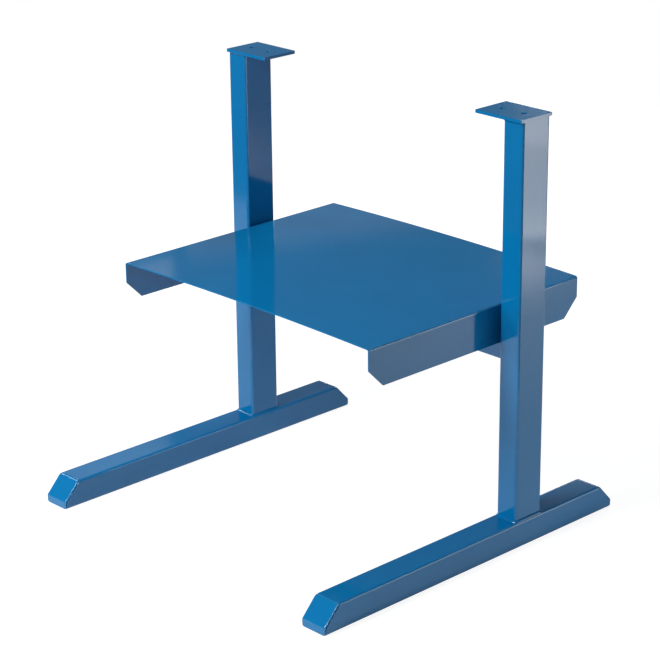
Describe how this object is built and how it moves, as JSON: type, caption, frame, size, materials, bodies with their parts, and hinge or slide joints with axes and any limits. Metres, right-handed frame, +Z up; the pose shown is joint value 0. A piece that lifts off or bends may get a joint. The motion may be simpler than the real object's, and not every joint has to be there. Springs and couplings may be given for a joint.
{
  "type": "paper cutter stand",
  "caption": "Floor stand for a paper cutter: welded T legs with drilled top plates, joined by a folded steel shelf and a cross tube.",
  "frame": {"origin": "on the floor under the middle of the stand's bounding box", "axes": "+X from the left leg to the right leg as seen from the front, +Y along the feet towards the rear, where the posts stand, +Z up"},
  "size_m": [0.672, 0.65, 0.7],
  "materials": {
    "powder_coat": "semi-gloss blue powder coat",
    "coated_weld": "blue powder coat over a weld bead",
    "zinc_plate": "bright zinc plated steel"
  },
  "bodies": {
    "root": {"left_foot_tube": "powder_coat", "right_foot_tube": "powder_coat", "left_front_end_plate": "powder_coat", "left_rear_end_plate": "powder_coat", "right_front_end_plate": "powder_coat", "right_rear_end_plate": "powder_coat", "left_post": "powder_coat", "right_post": "powder_coat", "left_top_plate": "powder_coat", "right_top_plate": "powder_coat", "left_post_base_weld": "coated_weld", "right_post_base_weld": "coated_weld", "left_plate_weld": "coated_weld", "right_plate_weld": "coated_weld", "shelf_tray": "powder_coat", "cross_tube": "powder_coat", "left_bracket_plate": "powder_coat", "right_bracket_plate": "powder_coat", "cross_tube_welds": "coated_weld", "shelf_bolts": "zinc_plate", "shelf_washers": "zinc_plate", "rivet_nuts": "zinc_plate"}
  },
  "joints": []
}
